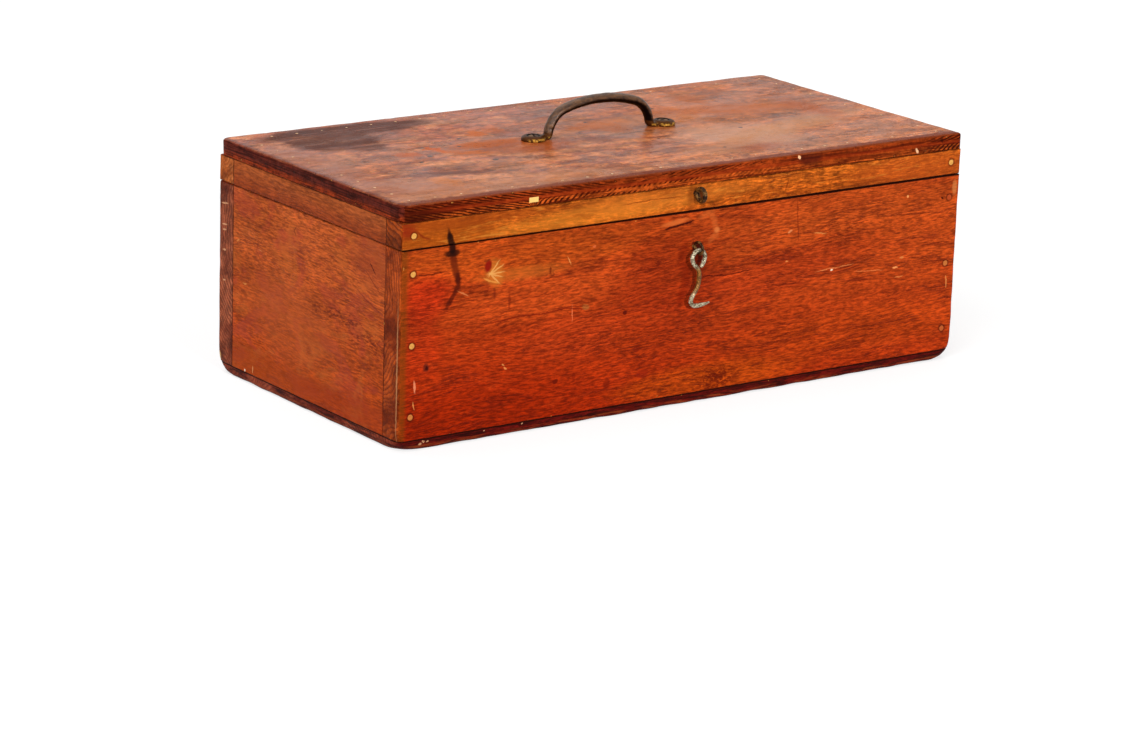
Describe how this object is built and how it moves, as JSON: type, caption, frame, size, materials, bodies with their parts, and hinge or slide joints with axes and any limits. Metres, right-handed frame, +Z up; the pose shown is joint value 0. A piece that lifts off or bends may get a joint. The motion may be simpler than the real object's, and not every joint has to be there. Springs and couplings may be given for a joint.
{
  "type": "tool chest",
  "caption": "Rectangular wooden tool chest with a hinged boxed lid, a bow handle on top and a hook that closes into a screw eye on the front.",
  "frame": {"origin": "centre of the underside, where the chest rests", "axes": "+X along the chest to its right, +Y to the hinged back, +Z up"},
  "size_m": [0.5, 0.2602, 0.2038],
  "materials": {
    "front_wood": "varnished red-orange, worn",
    "back_wood": "varnished red-brown, worn",
    "end_wood": "varnished orange-brown, worn",
    "bottom_wood": "dark varnish, rubbed",
    "peg_wood": "bare end grain",
    "pin_wood": "bare end grain",
    "top_wood": "satin varnish, scuffed",
    "rail_wood": "varnished golden orange",
    "brad_iron": "rusted",
    "handle_bronze": "dark patina, bright at the feet",
    "screw_iron": "dull",
    "hinge_iron": "dull, dark",
    "eye_iron": "dark, worn",
    "hook_steel": "worn bare steel"
  },
  "bodies": {
    "case": {"case_front_board": "front_wood", "case_back_board": "back_wood", "case_left_end": "end_wood", "case_right_end": "end_wood", "bottom_board": "bottom_wood", "case_front_pegs": "peg_wood", "case_back_pegs": "peg_wood", "bottom_brads": "brad_iron", "hinge_case_leaves": "hinge_iron", "hinge_pins": "hinge_iron", "hinge_case_screws": "screw_iron"},
    "lid": {"lid_top_board": "top_wood", "lid_front_rail": "rail_wood", "lid_back_rail": "rail_wood", "lid_left_rail": "rail_wood", "lid_right_rail": "rail_wood", "lid_rail_pegs": "peg_wood", "top_board_pins": "pin_wood", "lid_handle": "handle_bronze", "handle_screws": "screw_iron", "hinge_lid_leaves": "hinge_iron", "hinge_lid_screws": "screw_iron", "catch_screw_eye": "eye_iron"},
    "hook_eye": {"hook_screw_eye": "eye_iron"},
    "hook": {"hook": "hook_steel"}
  },
  "joints": [
    {"name": "lid_hinge", "type": "hinge", "parent": "case", "child": "lid", "pos_m": [0, 0.1242, 0.1434], "axis": [-1, 0, 0], "range_deg": [0, 190]},
    {"name": "hook_eye_turn", "type": "hinge", "parent": "case", "child": "hook_eye", "pos_m": [0, -0.12758, 0.1173], "axis": [0, 1, 0], "range_deg": [-22, 22]},
    {"name": "hook_swing", "type": "hinge", "parent": "hook_eye", "child": "hook", "pos_m": [0, -0.12758, 0.1159], "axis": [-0.9816, 0, -0.1908], "range_deg": [0, 180]}
  ]
}
